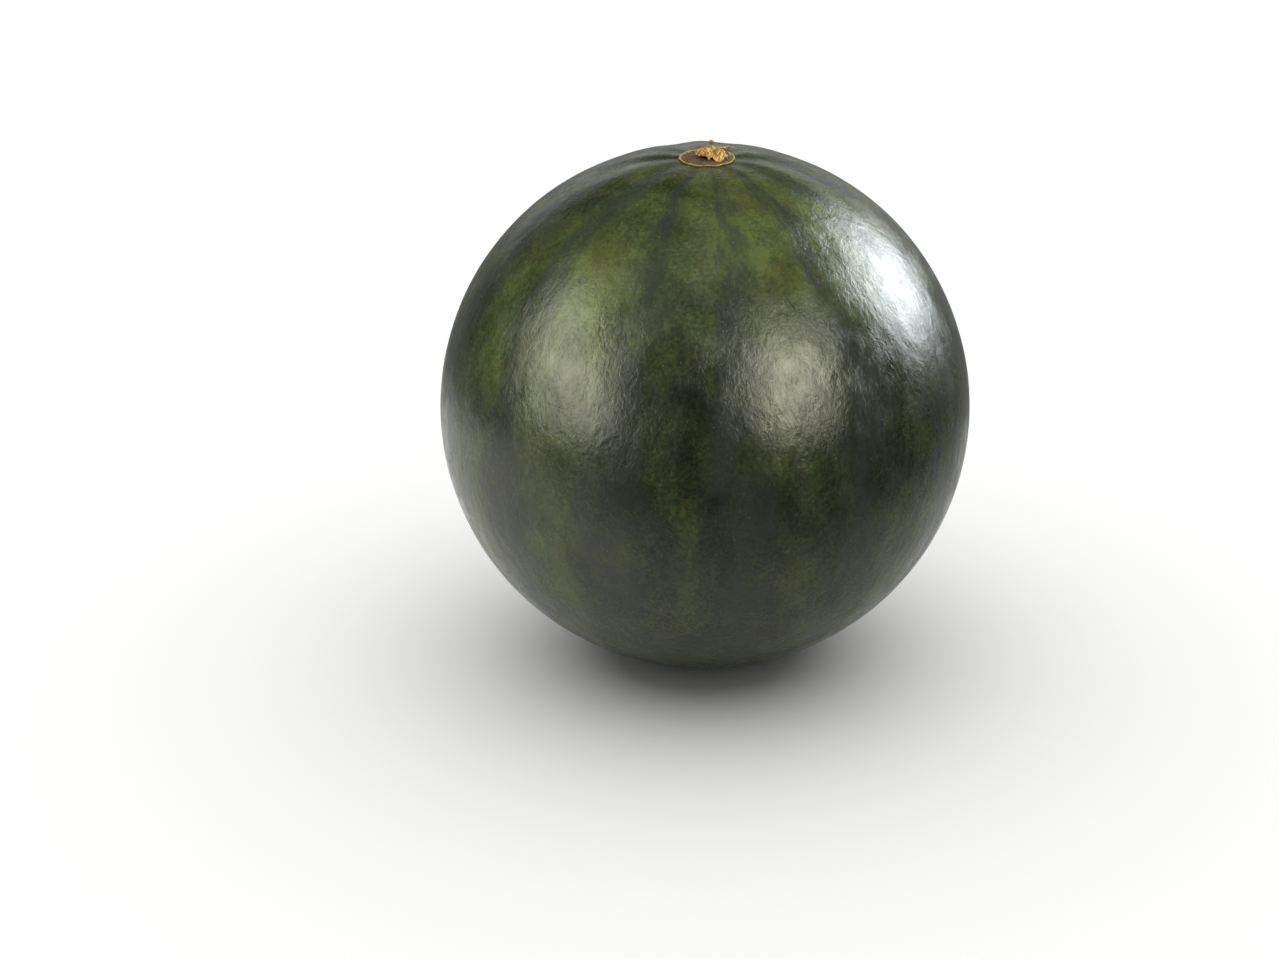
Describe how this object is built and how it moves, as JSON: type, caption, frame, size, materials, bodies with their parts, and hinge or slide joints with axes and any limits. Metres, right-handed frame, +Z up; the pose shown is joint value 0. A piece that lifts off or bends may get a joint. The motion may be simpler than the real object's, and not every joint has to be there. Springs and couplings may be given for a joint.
{
  "type": "watermelon",
  "caption": "Whole round dark-green watermelon standing on its blossom end, with a corky stem scar and a torn dry stem stub on top.",
  "frame": {"origin": "centre of the flat spot under the blossom end, on the surface that the melon rests on", "axes": "+Z up through the stem scar, -Y towards the front, +X to the right seen from the front"},
  "size_m": [0.2298, 0.2278, 0.2328],
  "materials": {
    "rind": "satin",
    "cork": "matte",
    "dry_stem": "matte"
  },
  "bodies": {
    "root": {"fruit": "rind", "stem_scar": "cork", "stem_stub": "dry_stem"}
  },
  "joints": []
}
